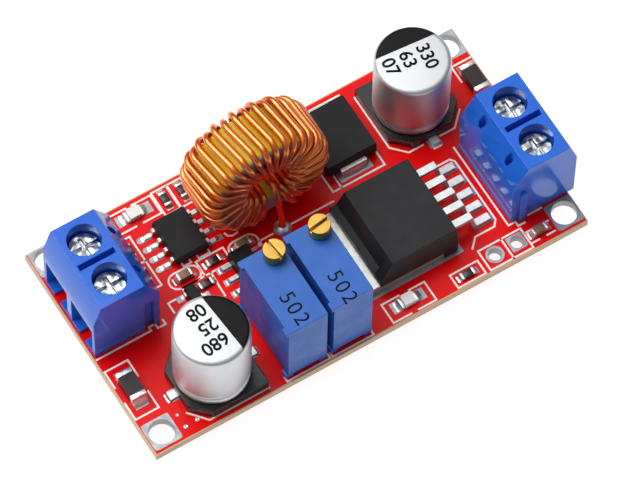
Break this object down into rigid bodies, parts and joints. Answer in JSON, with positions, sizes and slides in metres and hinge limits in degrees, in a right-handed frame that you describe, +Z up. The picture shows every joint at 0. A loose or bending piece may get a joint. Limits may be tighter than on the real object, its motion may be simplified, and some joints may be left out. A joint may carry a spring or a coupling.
{
  "type": "buck converter module",
  "caption": "Red step-down converter board with two blue screw terminal blocks, a copper-wound toroid, two round capacitors, two blue trimmers and a large converter chip.",
  "frame": {"origin": "centre of the four corner holes at the board's underside", "axes": "+X along the board towards the input terminals, +Z up out of the component side"},
  "size_m": [0.0519, 0.0262, 0.017],
  "materials": {
    "board": "glossy red solder mask over glass-fibre board",
    "terminal_plastic": "moulded blue, satin gloss",
    "contact_metal": "tinned",
    "screw_steel": "bright plated",
    "clamp_steel": "plated",
    "trimmer_plastic": "moulded blue",
    "brass": "turned",
    "tinned_metal": "tinned",
    "base_plastic": "moulded black",
    "can_aluminium": "satin",
    "core_coating": "yellow coating, one white face",
    "enamelled_copper": "clear enamel on copper",
    "moulding": "moulded black epoxy",
    "lamp_ceramic": "pale translucent",
    "small_ceramic": "sintered tan",
    "large_ceramic": "sintered dark brown"
  },
  "bodies": {
    "base": {"circuit_board": "board", "output_terminal_housing": "terminal_plastic", "input_terminal_housing": "terminal_plastic", "output_contacts": "contact_metal", "input_contacts": "contact_metal", "current_trimmer_body": "trimmer_plastic", "voltage_trimmer_body": "trimmer_plastic", "current_trimmer_pins": "tinned_metal", "voltage_trimmer_pins": "tinned_metal", "output_capacitor_base": "base_plastic", "output_capacitor_can": "can_aluminium", "output_capacitor_leads": "tinned_metal", "input_capacitor_base": "base_plastic", "input_capacitor_can": "can_aluminium", "input_capacitor_leads": "tinned_metal", "inductor_core": "core_coating", "inductor_winding": "enamelled_copper", "inductor_joints": "tinned_metal", "converter_body": "moulding", "converter_tab": "tinned_metal", "converter_leads": "tinned_metal", "amplifier_body": "moulding", "amplifier_leads": "tinned_metal", "diode_body": "moulding", "diode_terminals": "tinned_metal", "regulator_body": "moulding", "regulator_leads": "tinned_metal", "transistor_body": "moulding", "transistor_leads": "tinned_metal", "lamp_bodies": "lamp_ceramic", "lamp_ends": "tinned_metal", "resistor_bodies": "moulding", "resistor_ends": "tinned_metal", "small_capacitor_bodies": "small_ceramic", "small_capacitor_ends": "tinned_metal", "large_capacitor_bodies": "large_ceramic", "large_capacitor_ends": "tinned_metal", "terminal_joints": "tinned_metal", "trimmer_joints": "tinned_metal"},
    "output_screw_1": {"output_screw_1": "screw_steel"},
    "output_clamp_1": {"output_clamp_1": "clamp_steel"},
    "output_screw_2": {"output_screw_2": "screw_steel"},
    "output_clamp_2": {"output_clamp_2": "clamp_steel"},
    "input_screw_1": {"input_screw_1": "screw_steel"},
    "input_clamp_1": {"input_clamp_1": "clamp_steel"},
    "input_screw_2": {"input_screw_2": "screw_steel"},
    "input_clamp_2": {"input_clamp_2": "clamp_steel"},
    "current_adjuster": {"current_adjuster": "brass"},
    "voltage_adjuster": {"voltage_adjuster": "brass"}
  },
  "joints": [
    {"name": "output_screw_1_turn", "type": "hinge", "parent": "base", "child": "output_screw_1", "pos_m": [-0.02198, 0.00685, 0.009], "axis": [0, 0, 1], "range_deg": [-1152.1, 0]},
    {"name": "output_clamp_1_rise", "type": "slide", "parent": "base", "child": "output_clamp_1", "axis": [0, 0, 1], "range_m": [0, 0.0016]},
    {"name": "output_screw_2_turn", "type": "hinge", "parent": "base", "child": "output_screw_2", "pos_m": [-0.02198, 0.00185, 0.009], "axis": [0, 0, 1], "range_deg": [-1152.1, 0]},
    {"name": "output_clamp_2_rise", "type": "slide", "parent": "base", "child": "output_clamp_2", "axis": [0, 0, 1], "range_m": [0, 0.0016]},
    {"name": "input_screw_1_turn", "type": "hinge", "parent": "base", "child": "input_screw_1", "pos_m": [0.02283, -0.0069, 0.009], "axis": [0, 0, 1], "range_deg": [-1152.1, 0]},
    {"name": "input_clamp_1_rise", "type": "slide", "parent": "base", "child": "input_clamp_1", "axis": [0, 0, 1], "range_m": [0, 0.0016]},
    {"name": "input_screw_2_turn", "type": "hinge", "parent": "base", "child": "input_screw_2", "pos_m": [0.02283, -0.0019, 0.009], "axis": [0, 0, 1], "range_deg": [-1152.1, 0]},
    {"name": "input_clamp_2_rise", "type": "slide", "parent": "base", "child": "input_clamp_2", "axis": [0, 0, 1], "range_m": [0, 0.0016]},
    {"name": "current_adjuster_turn", "type": "hinge", "parent": "base", "child": "current_adjuster", "pos_m": [-0.00666, -0.00447, 0.0112], "axis": [0, 0, 1], "continuous": true},
    {"name": "voltage_adjuster_turn", "type": "hinge", "parent": "base", "child": "voltage_adjuster", "pos_m": [-0.00133, -0.00441, 0.0112], "axis": [0, 0, 1], "continuous": true}
  ],
  "couplings": [
    {"joint": "output_screw_1_turn", "follows": "output_clamp_1_rise", "rad_per_m": -12566},
    {"joint": "output_screw_2_turn", "follows": "output_clamp_2_rise", "rad_per_m": -12566},
    {"joint": "input_screw_1_turn", "follows": "input_clamp_1_rise", "rad_per_m": -12566},
    {"joint": "input_screw_2_turn", "follows": "input_clamp_2_rise", "rad_per_m": -12566}
  ]
}
